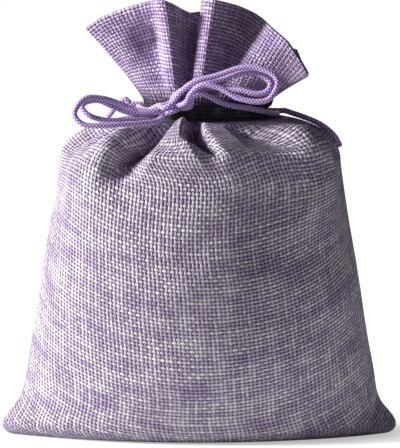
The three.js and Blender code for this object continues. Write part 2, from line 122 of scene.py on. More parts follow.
# Shoulder folds: angle at the neck, lean of the fold's foot, depth (a ridge is below zero), width to the left
# and to the right in degrees, drop below the casing, and the drop over which it sets in
SHOULDER_FOLDS = [
    (-74, 0, 4, 14, 12, 16, 4), (-56, -4, 2.6, 10, 9, 14, 4), (-42, 2, -1.6, 8, 8, 14, 4),
    (-25, -8, 9, 8.5, 7, 22, 2), (-14, 20, -3.4, 12, 4, 16, 1), (-9, 4, 11, 4, 6, 6.5, 0.35),
    (-8.5, 19, 9, 4, 4.5, 12, 1), (-2, 18, -2.6, 7, 15, 18, 2), (20, 20, 4.5, 11, 14, 13, 3),
    (42, 0, -3.4, 46, 50, 14, 4), (72, 2, 3.5, 12, 12, 16, 4), (116, 0, 4.2, 14, 14, 17, 4),
    (141, -3, 6.5, 12, 12, 24, 4), (168, 0, 5.5, 11, 11, 15, 4), (194, 2, 7, 12, 12, 24, 4),
    (221, 0, 5, 11, 11, 16, 4), (247, 3, 4.2, 14, 14, 19, 4),
]

# Softness of a fold's crease, roundness of its flanks, and the share of its drop at which it starts to fade
FOLD_CREASE = 0.16
FOLD_ROUND = 1.4
FOLD_FULL = 0.35

# Slits at the seams: how far below the casing they start, how wide they are there, at the ruffle and inside
# as shares of the slit's angle, and the share of the ruffle's height at which they close
SLIT_FOOT = 0.2
SLIT_AT_FOOT = 0.35
SLIT_AT_RUFFLE = 0.25
SLIT_AT_FACING = 0.9
SLIT_TOP = 0.25

# Casing: how far it bulges, and the lines of its inner layer down to the stitch line
CASING_BULGE = 0.7
STITCH = 1.5
FACING_LINES = [(-FACING, CASING_TOP + CLOTH), (-FACING, CASING_MIDDLE), (-FACING, CASING_FOOT - CLOTH),
                (-STITCH, CASING_FOOT - STITCH)]

# Hem of the ruffle from seam to seam: the angle of its foot round the neck, then where its edge lies across,
# back and up, as shares of the ruffle's spread and height
HEMS = {
    FRONT: [
        (-90, -1, 0, 0.67), (-79, -0.885, -0.06, 0.77), (-68, -0.77, -0.12, 0.83), (-57, -0.66, -0.16, 0.88),
        (-48, -0.55, -0.2, 0.92), (-42, -0.44, -0.27, 0.96), (-36, -0.355, -0.42, 0.985),
        (-30, -0.29, -0.45, 0.985), (-26, -0.23, -0.35, 0.95), (-23, -0.15, -0.2, 0.88),
        (-20, 0.02, -0.02, 0.77), (-17, 0.045, -0.1, 0.87), (-15, 0.005, -0.27, 0.985),
        (-12, 0.06, -0.41, 1), (-9, 0.13, -0.48, 0.995),
        (-4.5, 0.22, -0.39, 0.965), (-1, 0.34, -0.22, 0.91), (3, 0.46, -0.12, 0.845), (6, 0.53, -0.24, 0.805),
        (14, 0.61, -0.45, 0.745), (32, 0.75, -0.58, 0.63), (54, 0.87, -0.58, 0.44), (74, 0.95, -0.55, 0.28),
        (90, 0.86, 0, 0.46)],
    BACK: [
        (90, 0.86, 0, 0.46), (108, 0.78, 0.25, 0.46), (126, 0.53, 0.2, 0.67), (144, 0.36, 0.5, 0.72),
        (162, 0.17, 0.28, 0.75), (180, 0, 0.53, 0.76), (198, -0.19, 0.28, 0.77), (216, -0.42, 0.5, 0.75),
        (234, -0.58, 0.24, 0.74), (252, -0.86, 0.28, 0.66), (270, -1, 0, 0.67)],
}
HEM_SAMPLES = 1401
HEM_EASE = 11

# Ruffle: its flare, and the small gathers at its foot, which fade upwards and end short of the seams
RUFFLE_FLARE = 1.15
GATHERS = 21
GATHER_HEIGHT = 0.75
GATHER_FADE = 7
GATHER_END = 0.97

# Valley in the ruffle's left lobe: its foot angle, depth, width to the left and right, and the shares of the
# height over which it sets in from the foot and from the hem
VALLEY_ANGLE = -42.0
VALLEY_DEPTH = 7.5
VALLEY_LEFT = 11.0
VALLEY_RIGHT = 4.0
VALLEY_FROM_FOOT = (0, 0.6)
VALLEY_FROM_HEM = (0.02, 0.4)

# Ears at the lower corners: the right one steps back behind a leaning crease, the left one turns forward
EAR_CREASE = 53.0
EAR_LEAN = 0.2
EAR_CREASE_WIDTH = 1.8
EAR_STEP = 7.0
EAR_SLOPE = 2.0
EAR_WIDTH = 8
EAR_UP = ((0.5, 9), (13, 17))
LEFT_EAR_START = 52
LEFT_EAR_WIDTH = 12
LEFT_EAR_TURN = 2.0
LEFT_EAR_TOP = (9, 17)

# Grid of a panel: columns, and rows over half the base, the foot's round, the wall, the shoulder and so on up
COLUMNS = 176
FINE_COLUMNS = 720
BASE_ROWS = 9
FOOT_ROWS = 6
WALL_ROWS = 56
SHOULDER_ROWS = 36
CASING_ROWS = 9
RUFFLE_ROWS = 30
HEM_ROWS = 3

# Grain of the cloth: the heights over which the weft leaves the level of the base for the shoulder's form,
# how far that is eased, where the gathering sets in, and the steps between rows at the hem and on the facing
WEFT_LEVEL = (62, 97)
WEFT_EASE = 5
GATHERED_FROM = 93
HEM_STEP = 0.4
FACING_STEP = 2.0

seeded = np.random.default_rng(7)


def smooth(x, low, high):
    """An eased step from 0 at low to 1 at high."""
    t = np.clip((x - low) / (high - low), 0, 1)
    return t * t * (3 - 2 * t)


def band(x, rise, end):
    """1 between two eased steps, each given by its two ends, and 0 outside them."""
    return smooth(x, *rise) * (1 - smooth(x, *end))


def mixed(a, b, share):
    return a + (b - a) * share


def unit(vectors):
    return vectors / np.maximum(np.linalg.norm(vectors, axis=-1, keepdims=True), 1e-9)


def run_along(points):
    """Length along a line of points, from the first one to each of them."""
    return np.concatenate([[0], np.cumsum(np.linalg.norm(np.diff(points, axis=0), axis=1))])


def read_at(at, run, columns):
    """Columns of values known along a run, read at other places of it."""
    return np.stack([np.interp(at, run, column) for column in columns.T], -1)


def eased(columns, spread):
    """Columns of values along a line, smoothed by a bell of this spread in samples, with the ends kept."""
    reach = int(math.ceil(3 * spread))
    bell = np.exp(-0.5 * (np.arange(-reach, reach + 1) / spread) ** 2)
    bell /= bell.sum()
    before = 2 * columns[:1] - columns[reach:0:-1]
    after = 2 * columns[-1:] - columns[-2:-reach - 2:-1]
    longer = np.concatenate([before, columns, after])
    return np.stack([np.convolve(column, bell, "valid") for column in longer.T], 1)


def placed(name, data):
    """A new object in the scene with this data."""
    thing = bpy.data.objects.new(name, data)
    scene.collection.objects.link(thing)
    return thing


def mesh_object(name, points, faces, places=None, place_of_corner=None):
    """A smooth mesh from points in millimetres, with each corner's place on the cloth or the cord."""
    mesh = bpy.data.meshes.new(name)
    mesh.from_pydata([tuple(p) for p in np.asarray(points) * MM], [], faces)
    mesh.polygons.foreach_set("use_smooth", np.ones(len(mesh.polygons), bool))
    if places is not None:
        layer = mesh.uv_layers.new(name="grain")
        layer.uv.foreach_set("vector", places[place_of_corner].astype(np.float32).ravel())
    mesh.update()
    return placed(name, mesh)


def tube_faces(rings, around, closed=False):
    """Faces of a tube of rings, with covered ends or closed on itself, as point numbers, and the place of
    each face corner in rings that end on a second copy of their first point."""
    faces, corners = [], []
    wide = around + 1
    for r, c in np.ndindex(rings if closed else rings - 1, around):
        n, k = (r + 1) % rings, (c + 1) % around
        faces.append((r * around + c, r * around + k, n * around + k, n * around + c))
        corners += [r * wide + c, r * wide + c + 1, n * wide + c + 1, n * wide + c]
    if not closed:
        first, last = range(around)[::-1], range(around)
        faces += [tuple(first), tuple((rings - 1) * around + c for c in last)]
        corners += [*first, *((rings - 1) * wide + c for c in last)]
    return faces, np.array(corners)


# Pouch: the cloth's own form
def wall_profile(z):
    """Half widths to the left and right seams and half depth of the stuffed body at a height."""
    share = z / SHOULDER_HEIGHT
    straight = (HIP_WIDTH + (SHOULDER_WIDTH - HIP_WIDTH) * share) / 2
    left, right = (straight + reach * np.exp(-(((z - middle) / spread) ** 2))
                   for reach, middle, spread in CORNER_FLARES)
    below = np.maximum(0, 1 - z / BELLY_HEIGHT)
    above = np.maximum(0, (z - BELLY_HEIGHT) / (SHOULDER_HEIGHT - BELLY_HEIGHT))
    lower = BELLY_DEPTH - (BELLY_DEPTH - FOOT_DEPTH) * below ** FALL_BELOW
    depth = (lower - (BELLY_DEPTH - SHOULDER_DEPTH) * above ** FALL_ABOVE) / 2
    return left, right, depth


def shoulder_profile(turn):
    """Half width, half depth, height and sideways shift of the shoulder, turned from the wall to the neck."""
    width = mixed(NECK_WIDTH, SHOULDER_WIDTH, math.cos(turn)) / 2
    depth = mixed(NECK_DEPTH, SHOULDER_DEPTH, math.cos(turn)) / 2
    z = mixed(SHOULDER_HEIGHT, CASING_FOOT, math.sin(turn))
    return width, depth, z, NECK_SHIFT * (1 - math.cos(turn))


def body_rows():
    """Rows from the base seam to the casing: left, right, half depth, height, share of the base, shift."""
    rows = []
    for share in np.linspace(0, 1, BASE_ROWS)[:-1]:
        left, right, depth = wall_profile(0.0)
        rows.append((left - BASE_DRAWN_IN, right - BASE_DRAWN_IN, depth - FOOT_ROUND, 0.0, share, 0.0))
    for turn in np.linspace(0, math.pi / 2, FOOT_ROWS)[:-1]:
        z = FOOT_ROUND * (1 - math.cos(turn))
        left, right, depth = wall_profile(z)
        drawn = 1 - math.sin(turn)
        side = BASE_DRAWN_IN * drawn
        rows.append((left - side, right - side, depth - FOOT_ROUND * drawn, z, 1.0, 0.0))
    for z in np.linspace(FOOT_ROUND, SHOULDER_HEIGHT, WALL_ROWS):
        rows.append((*wall_profile(z), z, 1.0, 0.0))
    for turn in np.linspace(0, math.pi / 2, SHOULDER_ROWS)[1:]:
        width, depth, z, shift = shoulder_profile(turn)
        rows.append((width, width, depth, z, 1.0, shift))
    return np.array(rows)


BODY = body_rows()
BODY_LEFT, BODY_RIGHT, BODY_DEPTH, BODY_Z, BODY_SHARE, BODY_SHIFT = (column[:, None] for column in BODY.T)


def lumps():
    """Soft unevenness of the stuffed cloth, drawn anew for each panel."""
    swells = [(seeded.uniform(-LUMP_LEAN, LUMP_LEAN), length * seeded.uniform(*LUMP_STRETCH),
               seeded.uniform(0, LUMP_PHASE), height)
              for length, height in LUMP_KINDS for _ in range(LUMPS_OF_A_KIND)]

    def swell(x, z):
        return sum(height * np.sin(2 * math.pi * (x * math.sin(turn) + z * math.cos(turn)) / length + phase)
                   for turn, length, phase, height in swells)

    return swell


LUMPS = {FRONT: lumps(), BACK: lumps()}


def fold_depth(degrees, z):
    """How far the shoulder folds draw the cloth in at an angle and a height."""
    drop = CASING_FOOT - z
    depth = 0
    for at, lean, deep, left, right, fall, set_in in SHOULDER_FOLDS:
        away = (degrees - (at + lean * np.clip(drop / fall, 0, 1)) + 180) % 360 - 180
        reach = np.sqrt((away / np.where(away < 0, left, right)) ** 2 + FOLD_CREASE ** 2)
        across = np.clip(1 + FOLD_CREASE - reach, 0, 1) ** FOLD_ROUND
        depth = depth + deep * band(drop, (0, set_in), (FOLD_FULL * fall, fall)) * across
    return depth


def neck_point(degrees, out, z):
    """A point round the neck at an angle, this far outside it."""
    angle = np.radians(degrees)
    across = NECK_SHIFT + (NECK_WIDTH / 2 + out) * np.sin(angle)
    back = -(NECK_DEPTH / 2 + out) * np.cos(angle)
    return np.stack(np.broadcast_arrays(across, back, z), -1)


def hem_line(centre, t):
    """Foot angle and edge of the ruffle at places across the panel, from -1 at one seam to 1 at the other."""
    stops = np.array(HEMS[centre], float)
    edge = stops[:, 1:] * (RUFFLE_SPREAD, RUFFLE_SPREAD, RUFFLE_HEIGHT) + (0, 0, CASING_TOP)
    run = run_along(edge)
    steps = np.linspace(0, run[-1], HEM_SAMPLES)
    fine = eased(read_at(steps, run, np.column_stack([stops[:, 0], edge])), HEM_EASE)
    return read_at((t + 1) / 2 * run[-1], steps, fine).T


def grid_normals(points, centre):
    """Outward normals of a panel's grid, square to the seam at its two edges."""
    normal = unit(np.cross(np.gradient(points, axis=1), np.gradient(points, axis=0)))
    normal *= np.sign((normal[..., 1] * SIDE_OF[centre]).sum())
    normal[:, [0, -1], 1] = 0
    return unit(normal)


def stuffed_form(centre, degrees):
    """The body before it is folded: each row's points at these angles."""
    sin, cos = np.sin(np.radians(degrees)), np.cos(np.radians(degrees))
    corner = band(np.abs(sin), *CORNER_ACROSS) * band(BODY_Z, *CORNER_UP) * (centre == FRONT)
    boxed = 1 - np.where(sin < 0, *CORNER_BOX) * corner
    pinched = 1 + PINCH * np.exp(-BODY_Z / PINCH_HEIGHT)
    across = np.where(sin < 0, BODY_LEFT, BODY_RIGHT) * np.sign(sin) * np.abs(sin) ** boxed
    depth = BODY_DEPTH * np.abs(cos) ** (boxed * pinched) * BODY_SHARE
    return np.stack([BODY_SHIFT + across, SIDE_OF[centre] * depth, np.broadcast_to(BODY_Z, sin.shape)], -1)


def body_skin(centre, t, foot_angle):
    """The stuffed body's cloth from the base seam to the casing: its folded form, its form before folding,
    and how far each point was drawn in."""
    turn = np.linspace(-1, 1, FINE_COLUMNS + 1)
    slit = SLIT_ANGLE * SLIT_AT_FOOT * smooth(BODY_Z, CASING_FOOT - SLIT_FOOT, CASING_FOOT)
    degrees = centre + turn * (90 - slit)
    plain = stuffed_form(centre, degrees)
    to_seam = np.abs(np.cos(np.radians(degrees))) ** LUMP_FADE
    lump = LUMPS[centre](plain[..., 0], plain[..., 2]) * band(BODY_Z, *LUMPED) * to_seam
    near_seam = (90 - np.abs(turn * 90)) * BODY_DEPTH * math.pi / 180
    groove = GROOVE_DEPTH * np.exp(-((near_seam / GROOVE_WIDTH) ** 2)) * band(BODY_Z, *GROOVED)
    sunk = fold_depth(degrees, BODY_Z) + groove - lump
    folded = plain - grid_normals(plain, centre) * sunk[..., None]
    seam_shut = slit[:, 0] <= 0
    folded[seam_shut, 0, 1] = 0
    folded[seam_shut, -1, 1] = 0
    folded[..., 2] = np.where(BODY_SHARE < 1, 0, np.maximum(folded[..., 2], 0))

    gathered = smooth(BODY_Z[:, 0], GATHERED_FROM, CASING_FOOT)
    rows, base, tucked = [], [], []
    for row, line in enumerate(folded):
        run = run_along(line)
        at = mixed(np.interp(t, run / run[-1] * 2 - 1, turn), (foot_angle - centre) / 90, gathered[row])
        rows.append(read_at(at, turn, line))
        base.append(read_at(at, turn, plain[row]))
        tucked.append(np.interp(at, turn, sunk[row]))
    return np.array(rows), np.array(base), np.array(tucked)


def ruffle_skin(centre, t, foot_angle, edge):
    """The ruffle's outer cloth, from the casing's top up to the hem."""
    share = np.linspace(0, 1, RUFFLE_ROWS)[:, None]
    lip = SLIT_ANGLE * SLIT_AT_RUFFLE * (1 - smooth(share, 0, SLIT_TOP))
    angle = centre + (foot_angle - centre) * (90 - lip) / 90
    wave = np.sin(math.pi * GATHERS * t) ** 2 * (np.abs(t) < GATHER_END)
    foot = neck_point(angle, GATHER_HEIGHT * wave * np.exp(-share * GATHER_FADE), CASING_TOP)
    spread = share ** RUFFLE_FLARE
    skin = np.stack([mixed(foot[..., 0], edge[0], spread), mixed(foot[..., 1], edge[1], spread),
                     mixed(foot[..., 2], edge[2], share)], -1)
    if centre == FRONT:
        run = run_along(np.stack(edge, -1))
        away = run - np.interp(VALLEY_ANGLE, foot_angle, run)
        across = np.exp(-((away / np.where(away < 0, VALLEY_LEFT, VALLEY_RIGHT)) ** 2))
        deep = smooth(share, *VALLEY_FROM_FOOT) * smooth(1 - share, *VALLEY_FROM_HEM)
        skin[..., 1] += VALLEY_DEPTH * across * deep
    return skin


def flat_places(t, base, steps):
    """Each point's place on the flat cloth, across it and up from the casing's foot."""
    rise = np.linalg.norm(np.diff(base, axis=0), axis=-1)
    below = -np.concatenate([np.cumsum(rise[::-1], axis=0)[::-1], np.zeros((1, len(t)))])
    level = below - below[:1] + below[0].mean()
    below = eased(mixed(level, below, smooth(BODY_Z, *WEFT_LEVEL)).T, WEFT_EASE).T
    above = np.cumsum(np.concatenate([np.full(count, step) for count, step in steps]))
    height = np.concatenate([below, np.broadcast_to(above[:, None], (len(above), len(t)))])
    return np.stack([t * PANEL_WIDTH / 2 + CLOTH_SKEW * height, height], -1)


def panel_skin(centre):
    """One panel's points from the base seam up the outside, over the hem and down inside to the stitch line,
    with each point's place on the flat cloth and how far a fold draws it in."""
    t = np.linspace(-1, 1, COLUMNS + 1)
    foot_angle, *edge = hem_line(centre, t)
    body, base, tucked = body_skin(centre, t, foot_angle)

    def neck_angles(slit_share):
        return centre + (foot_angle - centre) * (90 - SLIT_ANGLE * slit_share) / 90

    casing = []
    for share in np.linspace(0, 1, CASING_ROWS)[1:-1]:
        bulge = math.sin(math.pi * share)
        angle = neck_angles(mixed(SLIT_AT_FOOT, 1, bulge))
        ruche = RUCHE * (1 - np.cos(np.radians(angle * RUCHES))) / 2 * (1 + bulge) / 2
        casing.append(neck_point(angle, ruche + CASING_BULGE * bulge, CASING_FOOT + CASING_HEIGHT * share))
    outer = ruffle_skin(centre, t, foot_angle, edge)
    lining = grid_normals(outer, centre)
    up = unit(outer[-1] - outer[-2])
    hem = [outer[-1] + CLOTH * (up * math.sin(turn) - lining[-1] * (1 - math.cos(turn)))
           for turn in np.linspace(0, math.pi, HEM_ROWS + 2)[1:-1]]
    inner = (outer - lining * 2 * CLOTH)[::-2]
    facing = [neck_point(neck_angles(SLIT_AT_FACING), out, z) for out, z in FACING_LINES]
    skin = np.concatenate([body, casing, outer, hem, inner, facing])

    casing_steps = len(casing) + 1
    ruffle_steps = RUFFLE_ROWS - 1
    flat = flat_places(t, base, [
        (casing_steps, CASING_HEIGHT / casing_steps), (ruffle_steps, RUFFLE_HEIGHT / ruffle_steps),
        (HEM_ROWS, HEM_STEP), (len(inner), 2 * RUFFLE_HEIGHT / RUFFLE_ROWS), (len(facing), FACING_STEP)])
    untucked = np.zeros((len(skin) - len(body), len(t)))
    return skin, flat, np.concatenate([tucked, untucked])


def fold_ears(points):
    """Turns the lower right corner back and the lower left one forward."""
    x, y, z = points.T
    crease = EAR_CREASE + EAR_LEAN * z
    behind = EAR_STEP * smooth(x, crease, crease + EAR_CREASE_WIDTH)
    behind += EAR_SLOPE * np.clip((x - crease) / EAR_WIDTH, 0, 1)
    y += behind * band(z, *EAR_UP)
    forward = LEFT_EAR_TURN * np.clip((-x - LEFT_EAR_START) / LEFT_EAR_WIDTH, 0, 1)
    y -= forward * (1 - smooth(z, *LEFT_EAR_TOP))


def pouch_cloth():
    """Both panels as one sheet, sewn along the base and along the side seams, which the slits interrupt."""
    points, places, faces, corners, tucks = [], [], [], [], []
    known = {}
    for centre in (FRONT, BACK):
        skin, flat, tucked = panel_skin(centre)
        rows, columns = tucked.shape
        index = np.zeros((rows, columns), int)
        start = len(places)
        places.extend(flat.reshape(-1, 2))
        for r, c in np.ndindex(rows, columns):
            sewn = r == 0 or c in (0, columns - 1)
            key = tuple(np.round(skin[r, c], 3)) if sewn else (centre, (r, c))
            index[r, c] = known.setdefault(key, len(points))
            if index[r, c] == len(points):
                points.append(skin[r, c])
                tucks.append(tucked[r, c])
        for r, c in np.ndindex(rows - 1, columns - 1):
            face = {}
            for row, column in ((r, c), (r, c + 1), (r + 1, c + 1), (r + 1, c)):
                face.setdefault(int(index[row, column]), start + row * columns + column)
            if len(face) > 2:
                faces.append(list(face))
                corners.extend(face.values())
    points = np.array(points)
    fold_ears(points)
    cloth = mesh_object("pouch_cloth", points, faces, np.array(places) * MM, np.array(corners))
    tuck = cloth.data.attributes.new("tucked", "FLOAT", "POINT")
    tuck.data.foreach_set("value", np.array(tucks, np.float32))
    thick = cloth.modifiers.new("cloth_thickness", "SOLIDIFY")
    thick.thickness = SHEET * MM
    thick.offset = -1
    thick.use_quality_normals = True
    return cloth


# Filling: its rows up the wall and over the crown, where they start and where the crown does, and its lumps
HEAP_ROWS = 40
HEAP_CROWN_ROWS = 8
HEAP_TURN = 3
HEAP_BASE = 2
HEAP_EDGE_DROP = 13
HEAP_EDGE = SHOULDER_HEIGHT - HEAP_EDGE_DROP
HEAP_LUMP = 0.5
HEAP_WAVES = (0.55, 0.6, 0.5)
HEAP_PHASE = 1
HEAP_LUMPED = (0, 0.4)


def heap_of_buds():
    """A lumpy heap that lies inside the cloth up to the shoulder."""
    turns = np.radians(np.arange(0, 360, HEAP_TURN))
    sin, cos = np.sin(turns), np.cos(turns)
    wall = np.linspace(HEAP_BASE, HEAP_EDGE, HEAP_ROWS)
    z = np.concatenate([wall, np.full(HEAP_CROWN_ROWS, HEAP_EDGE)])[:, None]
    crown = np.concatenate([np.zeros(HEAP_ROWS), np.linspace(0, 1, HEAP_CROWN_ROWS + 2)[1:-1]])[:, None]
    shrink = np.cos(crown * math.pi / 2)
    left, right, depth = wall_profile(z)
    pinched = 1 + PINCH * np.exp(-z / PINCH_HEIGHT)
    across = (np.where(sin < 0, left, right) - FILL_SIDE_GAP) * sin * shrink
    back = -np.sign(cos) * (depth - FILL_GAP) * np.abs(cos) ** pinched * shrink
    height = z + (FILL_CROWN - HEAP_EDGE) * np.sin(crown * math.pi / 2)
    wave_x, wave_y, wave_z = HEAP_WAVES
    lump = np.sin(across * wave_x) * np.sin(back * wave_y + HEAP_PHASE) * np.sin(height * wave_z)
    height = height + HEAP_LUMP * lump * smooth(crown, *HEAP_LUMPED)
    faces, _ = tube_faces(len(z), len(turns))
    return mesh_object("heap_of_buds", np.stack([across, back, height], -1).reshape(-1, 3), faces)


# Cords: the routes of the part's source, as offsets from the knot's middle, angles round the neck and places
# on the shoulder
KNOT = np.array([-9.5, -16.0, 107.2])
LOOPS = {
    "left_loop_outer": [
        (-4.5, -1.8, -0.9), (-11.1, -1.4, -0.5), (-16.3, -1.6, 1.6), (-21.5, -2.6, 3.3), (-26.4, -4, 3.6),
        (-29.1, -5.6, 1.6), (-30.3, -6.8, -1.4), (-27.9, -7.6, -4.2), (-21.3, -7.6, -4.8),
        (-16.2, -6.8, -4.6), (-8.4, -4.8, -4.4), (-3.7, -2.6, -3.8)],
    "left_loop_inner": [
        (-4.1, 2, -1.7), (-12.5, 1.8, -1.9), (-17.7, 1.4, -0.1), (-23, 0, 2.3), (-27.3, -1.8, 1.6),
        (-28, -2.6, 0.4), (-25.9, -3.8, -1.9), (-21.4, -4.6, -3.3), (-13.7, -3, -3.8), (-8.5, -1.2, -3.9),
        (-3.9, 0.4, -4)],
    "right_loop_outer": [
        (2, -2.8, 3.8), (4.9, -4.2, 6.9), (8.2, -5, 9.1), (14.9, -5.6, 11), (21.9, -6.2, 13.4),
        (27, -7, 13.7), (33, -8.6, 11.3), (34.1, -9.4, 9), (31.5, -10.4, 4.2), (28.1, -10.4, 3.2),
        (21.5, -9.4, 4.3), (16, -8.2, 7.2), (11, -7.4, 8.3), (8.5, -6.8, 7.2), (6.4, -5.8, 4.9),
        (4.9, -3.8, 2)],
    "right_loop_inner": [
        (1.1, 0.2, 3.4), (3.8, -1, 5.6), (10.4, -2.6, 8.3), (16.4, -3.3, 9.5), (22.7, -4.2, 11.5),
        (27, -4.8, 11.6), (31.8, -6.2, 8.7), (31, -7, 6.4), (28.1, -7.2, 5.3), (22.3, -5.8, 6.3),
        (16.1, -2.8, 6.9), (10.4, -0.2, 6.1), (7.9, 0.7, 4.8), (6, 1.2, 2.5)],
}
LEFT_LEAD = [(-3.3, 3.6, 0.2), (-7, 6.6, -1.7)]
RIGHT_LEAD = [
    (6.2, -1.2, 0.4), (7.3, -3, 3.8), (9.5, -3.6, 5), (12.6, -2.8, 3.8), (15.7, -1.4, 2), (19.2, 0.1, 0.7)]
RIGHT_LEAD_ROUND = [(35, 2.6), (54, 1)]
LOW_RUN = CASING_MIDDLE - (CORD + CLEARANCE) / 2
HIGH_RUN = CASING_MIDDLE + (CORD + CLEARANCE) / 2
INSIDE = -CLOTH - TUNNEL / 2
OUTSIDE = RUCHE + 2 * CLEARANCE + CORD / 2
EXIT_ANGLE = -262.5
EXIT_REACH = 5.4
EXIT_OUT = INSIDE + EXIT_REACH
TURN_IN = (68, 76, 79, 76, 68)
ROUND_NECK = range(54, -235, -18)
TURN_OUT = [
    (-248, INSIDE), (-255, INSIDE + 0.5), (-260, INSIDE + 2), (-262, INSIDE + 4), (EXIT_ANGLE, EXIT_OUT)]
LEFT_RISE = 1.5
RIGHT_RISE = -0.6
LEFT_RESTS = [(4, -254), (3, -248), (2, -244), (1, -241), (0, -239), (-1, -238)]
RIGHT_RESTS = [(4, -265), (3, -266), (2, -266), (1, -265)]

# Steps of the shoulder on which the free ends rest, and the wall's last row below it with its cloth's lean
SHOULDER_STEPS = 6
WALL_ROW = SHOULDER_HEIGHT * 0.9 ** 1.5
WALL_LEAN = np.array([0.98, 0.16])

# Cord: spacing of its rings and points round it, the braid's strands and pitch, its core and crowns as shares
# of the radius, the crowns' roundness, and the rounding of a cut end
CORD_STEP = 0.25
CORD_AROUND = 40
SPLINE_STEPS = 40
BRAID_STRANDS = 4
BRAID_PITCH = 1.1
BRAID_CORE = 0.94
BRAID_CROWN = 0.075
CROWN_ROUND = 0.6
CUT_ROUND = 0.9
CUT_TIP = 0.03

# What a cord does at its ends: the knot's reach, the length of a free end that the casing holds, and where a
# lifted end bends, before and after its slit
KNOT_REACH = 1.8
HELD_END = 10.0
BEND_BEFORE = 1.0
BEND_AFTER = 4.0

# The knot's wraps: the line about which they turn, and each one's offset along it, tilt and radius
WRAP_AXIS = (-0.55, -0.05, 0.83)
WRAPS = [(-1.0, 0.25, 2.5), (1.0, 0.18, 2.55)]
WRAP_STEPS = 80
WRAP_FLATTENED = 0.92


def spline(points):
    """A centripetal curve through the points, in equal steps."""
    points = np.asarray(points, float)
    whole = np.vstack([2 * points[0] - points[1], points, 2 * points[-1] - points[-2]])
    t = np.linspace(0, 1, SPLINE_STEPS + 1)[:-1, None]
    fine = []
    for p0, p1, p2, p3 in zip(whole[:-3], whole[1:-2], whole[2:-1], whole[3:]):
        d0, d1, d2 = (max(np.linalg.norm(b - a) ** 0.5, 1e-4) for a, b in ((p0, p1), (p1, p2), (p2, p3)))
        m1 = ((p1 - p0) / d0 - (p2 - p0) / (d0 + d1) + (p2 - p1) / d1) * d1
        m2 = ((p2 - p1) / d1 - (p3 - p1) / (d1 + d2) + (p3 - p2) / d2) * d1
        fine.append((2 * t ** 3 - 3 * t ** 2 + 1) * p1 + (t ** 3 - 2 * t ** 2 + t) * m1
                    + (-2 * t ** 3 + 3 * t ** 2) * p2 + (t ** 3 - t ** 2) * m2)
    fine = np.vstack([*fine, points[-1:]])
    run = run_along(fine)
    steps = np.linspace(0, run[-1], max(2, int(round(run[-1] / CORD_STEP))) + 1)
    return read_at(steps, run, fine)


def frames_along(path, closed):
    """Two cross directions at each point of a path, carried along it without twist."""
    ahead = np.gradient(path, axis=0)
    if closed:
        ahead = np.roll(path, -1, axis=0) - np.roll(path, 1, axis=0)
    ahead /= np.linalg.norm(ahead, axis=1, keepdims=True)
    side = np.cross(ahead[0], [0, 0, 1] if abs(ahead[0][2]) < 0.9 else [1, 0, 0])
    sides = []
    for direction in ahead:
        side = side - direction * np.dot(side, direction)
        side = side / np.linalg.norm(side)
        sides.append(side)
    return np.array(sides), np.cross(ahead, sides)


def braided_cord(name, path, cut_end=False, closed=False):
    """A braided cord along a path, its strands' crowns raised, and its last end rounded where it is cut."""
    side, rise = frames_along(path, closed)
    angle = np.linspace(0, 2 * math.pi, CORD_AROUND, endpoint=False)
    run = run_along(path)
    strands = angle / (2 * math.pi) * BRAID_STRANDS
    pitches = run[:, None] / BRAID_PITCH
    turns = (strands + pitches, strands - pitches)
    first, second = (np.abs(np.sin(math.pi * turn)) ** CROWN_ROUND for turn in turns)
    radius = CORD / 2 * (BRAID_CORE + BRAID_CROWN * (first * second))
    if cut_end:
        left = np.clip((run[-1] - run) / CUT_ROUND, CUT_TIP, 1)
        radius = radius * np.sqrt(np.clip(1 - (1 - left) ** 2, 0, 1))[:, None]
    spoke = np.cos(angle)[:, None] * side[:, None, :] + np.sin(angle)[:, None] * rise[:, None, :]
    points = path[:, None, :] + radius[..., None] * spoke
    faces, corners = tube_faces(len(path), CORD_AROUND, closed)
    places = np.stack(np.broadcast_arrays(np.append(strands, BRAID_STRANDS), pitches), -1)
    return mesh_object(name, points.reshape(-1, 3), faces, places.reshape(-1, 2), corners)


def drawstring_route(side, z, lead):
    """From the knot by its lead to one slit, round the neck inside the tunnel, and out of the other slit."""
    inwards = [(1 - math.cos(math.pi * i / (len(TURN_IN) - 1))) / 2 for i in range(len(TURN_IN))]
    turn_in = [(degrees, mixed(OUTSIDE, INSIDE, share)) for degrees, share in zip(TURN_IN, inwards)]
    round_neck = [(degrees, INSIDE) for degrees in ROUND_NECK]
    route = [neck_point(side * degrees, out, z) for degrees, out in turn_in + round_neck + TURN_OUT]
    return np.vstack([KNOT, *lead, *route])


def resting_point(step, degrees, off):
    """A point lying off the shoulder's cloth at one of its steps, or off the wall's last row below them."""
    sin, cos = math.sin(math.radians(degrees)), math.cos(math.radians(degrees))
    if step < 0:
        width, _, depth = wall_profile(WALL_ROW)
        z, shift, side, front = WALL_ROW, 0.0, WALL_LEAN, WALL_LEAN
    else:
        turn = math.pi / 2 * step / SHOULDER_STEPS
        width, depth, z, shift = shoulder_profile(turn)
        rise = (CASING_FOOT - SHOULDER_HEIGHT) * math.cos(turn)
        side = unit(np.array([rise, (SHOULDER_WIDTH - NECK_WIDTH) / 2 * math.sin(turn)]))
        front = unit(np.array([rise, (SHOULDER_DEPTH - NECK_DEPTH) / 2 * math.sin(turn)]))
    normal = unit(np.array([side[0] * sin, -front[0] * cos, side[1] * sin ** 2 + front[1] * cos ** 2]))
    fold = float(fold_depth(np.array(degrees), np.array(z)))
    return np.array([shift + width * sin, -depth * cos, z]) + normal * (off - fold)


